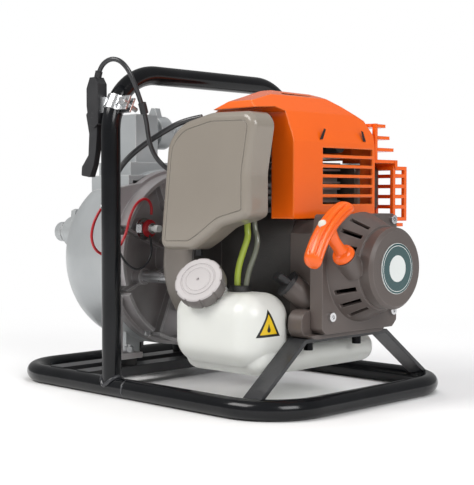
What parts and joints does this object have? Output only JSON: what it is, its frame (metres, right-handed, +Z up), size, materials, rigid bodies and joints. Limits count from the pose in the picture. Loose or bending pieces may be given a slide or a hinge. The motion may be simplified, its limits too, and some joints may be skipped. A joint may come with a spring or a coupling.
{
  "type": "portable fire pump",
  "caption": "Petrol-driven centrifugal pump and engine with recoil starter, in a looped tube frame with a carrying hoop.",
  "frame": {"origin": "on the floor, in the middle of the whole outline", "axes": "+X from the pump to the recoil starter, +Z up, +Y away from the air cleaner and fuel tank lobe"},
  "size_m": [0.487, 0.296, 0.3487],
  "materials": {
    "frame_paint": "gloss black enamel",
    "bracket_black": "satin black enamel",
    "pump_silver": "silver paint on die-cast aluminium",
    "pump_metal": "as cast",
    "engine_black": "black paint on die-cast aluminium",
    "cooling_beige": "moulded",
    "hood_orange": "glossy moulded",
    "cleaner_taupe": "glossy moulded",
    "starter_grey": "satin moulded",
    "tank_white": "translucent blow-moulded",
    "cap_grey": "moulded",
    "black_plastic": "moulded",
    "rubber": "moulded",
    "hose_green": "clear fuel hose",
    "steel": "zinc plated",
    "chrome": "plated",
    "forged_steel": "machined",
    "alloy": "machined",
    "muffler_steel": "heat stained",
    "paper": "pleated",
    "wire": "sleeved",
    "rope_white": "braided"
  },
  "bodies": {
    "machine": {"base_loop_rear": "frame_paint", "base_loop_front": "frame_paint", "handle_hoop": "frame_paint", "engine_bridge_bracket": "bracket_black", "pump_cross_bars": "bracket_black", "rubber_mounts": "rubber", "mount_bolts": "steel", "pump_front_cover": "pump_silver", "pump_gasket": "rubber", "pump_back_plate": "pump_silver", "mechanical_seal": "forged_steel", "pump_bolts": "steel", "volute_casing": "pump_metal", "inlet_hose_tail": "pump_silver", "outlet_hose_tail": "pump_silver", "spacer_tubes": "alloy", "fan_cover": "cooling_beige", "ignition_coil": "black_plastic", "crank_bearings": "forged_steel", "crankcase": "engine_black", "rear_case": "starter_grey", "cylinder": "alloy", "rocker_cover": "engine_black", "spark_plug": "steel", "ht_lead": "rubber", "engine_shroud": "hood_orange", "muffler": "muffler_steel", "muffler_guard": "hood_orange", "carburettor": "engine_black", "air_filter_base": "black_plastic", "air_filter_element": "paper", "fuel_tank": "tank_white", "fuel_lines": "hose_green", "recoil_housing": "starter_grey", "recoil_screws": "chrome", "throttle_housing": "black_plastic", "band_clamp": "steel", "throttle_cable": "rubber", "stop_switch": "chrome", "switch_wires": "wire"},
    "rotor": {"crankshaft": "forged_steel", "flywheel": "pump_metal", "impeller": "pump_metal"},
    "check_flap": {"check_valve_flap": "rubber"},
    "inlet_nut": {"inlet_union_nut": "pump_silver"},
    "outlet_nut": {"outlet_union_nut": "pump_silver"},
    "priming": {"priming_plug": "black_plastic"},
    "drain": {"drain_plug": "black_plastic"},
    "piston_body": {"piston": "alloy"},
    "lever": {"throttle_lever": "black_plastic"},
    "carb_arm": {"throttle_arm": "steel"},
    "choke": {"choke_lever": "black_plastic"},
    "primer": {"primer_bulb": "rubber"},
    "cleaner_cover": {"air_filter_cover": "cleaner_taupe"},
    "tank_cap": {"fuel_cap": "cap_grey"},
    "oil_filler_cap": {"oil_cap": "black_plastic"},
    "pull": {"recoil_handle": "hood_orange", "recoil_rope": "rope_white"},
    "reel": {"recoil_reel": "black_plastic"},
    "button": {"stop_button": "black_plastic"}
  },
  "joints": [
    {"name": "shaft_spin", "type": "hinge", "parent": "machine", "child": "rotor", "pos_m": [0, 0, 0.137], "axis": [1, 0, 0], "continuous": true},
    {"name": "check_flap_swing", "type": "hinge", "parent": "machine", "child": "check_flap", "pos_m": [-0.1725, -0.03, 0.1775], "axis": [0, -1, 0], "range_deg": [0, 35]},
    {"name": "inlet_nut_turn", "type": "hinge", "parent": "machine", "child": "inlet_nut", "pos_m": [-0.211, -0.03, 0.163], "axis": [-1, 0, 0], "continuous": true},
    {"name": "outlet_nut_turn", "type": "hinge", "parent": "machine", "child": "outlet_nut", "pos_m": [-0.118, 0.016, 0.281], "axis": [0, 1, 0], "continuous": true},
    {"name": "priming_plug_lift", "type": "slide", "parent": "machine", "child": "priming", "axis": [0, 0, 1], "range_m": [0, 0.02]},
    {"name": "drain_plug_drop", "type": "slide", "parent": "machine", "child": "drain", "axis": [0, 0, -1], "range_m": [0, 0.02]},
    {"name": "piston_stroke", "type": "slide", "parent": "machine", "child": "piston_body", "axis": [0, 0, -1], "range_m": [0, 0.028]},
    {"name": "throttle_squeeze", "type": "hinge", "parent": "machine", "child": "lever", "pos_m": [-0.038, -0.14, 0.29], "axis": [0, -1, 0], "range_deg": [0, 8], "stiffness_Nm_per_rad": 1, "springref_deg": -5.73},
    {"name": "throttle_arm_turn", "type": "hinge", "parent": "machine", "child": "carb_arm", "pos_m": [0.118, -0.072, 0.235], "axis": [0, 0, 1], "range_deg": [0, 61]},
    {"name": "choke_turn", "type": "hinge", "parent": "machine", "child": "choke", "pos_m": [0.06, -0.086, 0.175], "axis": [0, -1, 0], "range_deg": [0, 60]},
    {"name": "primer_press", "type": "slide", "parent": "machine", "child": "primer", "axis": [-1, 0, 0], "range_m": [0, 0.0024], "stiffness_N_per_m": 300, "springref_m": -0.001},
    {"name": "cleaner_cover_off", "type": "slide", "parent": "machine", "child": "cleaner_cover", "axis": [0, -1, 0], "range_m": [0, 0.035]},
    {"name": "fuel_cap_off", "type": "slide", "parent": "machine", "child": "tank_cap", "axis": [0.2897, -0.7693, 0.5695], "range_m": [0, 0.02]},
    {"name": "oil_cap_off", "type": "slide", "parent": "machine", "child": "oil_filler_cap", "axis": [-0.4508, -0.6411, 0.6211], "range_m": [0, 0.025]},
    {"name": "starter_pull", "type": "slide", "parent": "machine", "child": "pull", "axis": [0, -0.72, 0.694], "range_m": [0, 0.5], "stiffness_N_per_m": 20, "springref_m": -0.3},
    {"name": "reel_turn", "type": "hinge", "parent": "machine", "child": "reel", "pos_m": [0, 0, 0.137], "axis": [1, 0, 0], "range_deg": [-1062, 0]},
    {"name": "stop_press", "type": "slide", "parent": "machine", "child": "button", "axis": [-1, 0, 0], "range_m": [0, 0.003], "stiffness_N_per_m": 300, "springref_m": -0.001}
  ],
  "couplings": [
    {"joint": "throttle_arm_turn", "follows": "throttle_squeeze", "ratio": 7.5},
    {"joint": "reel_turn", "follows": "starter_pull", "rad_per_m": -37.04}
  ]
}
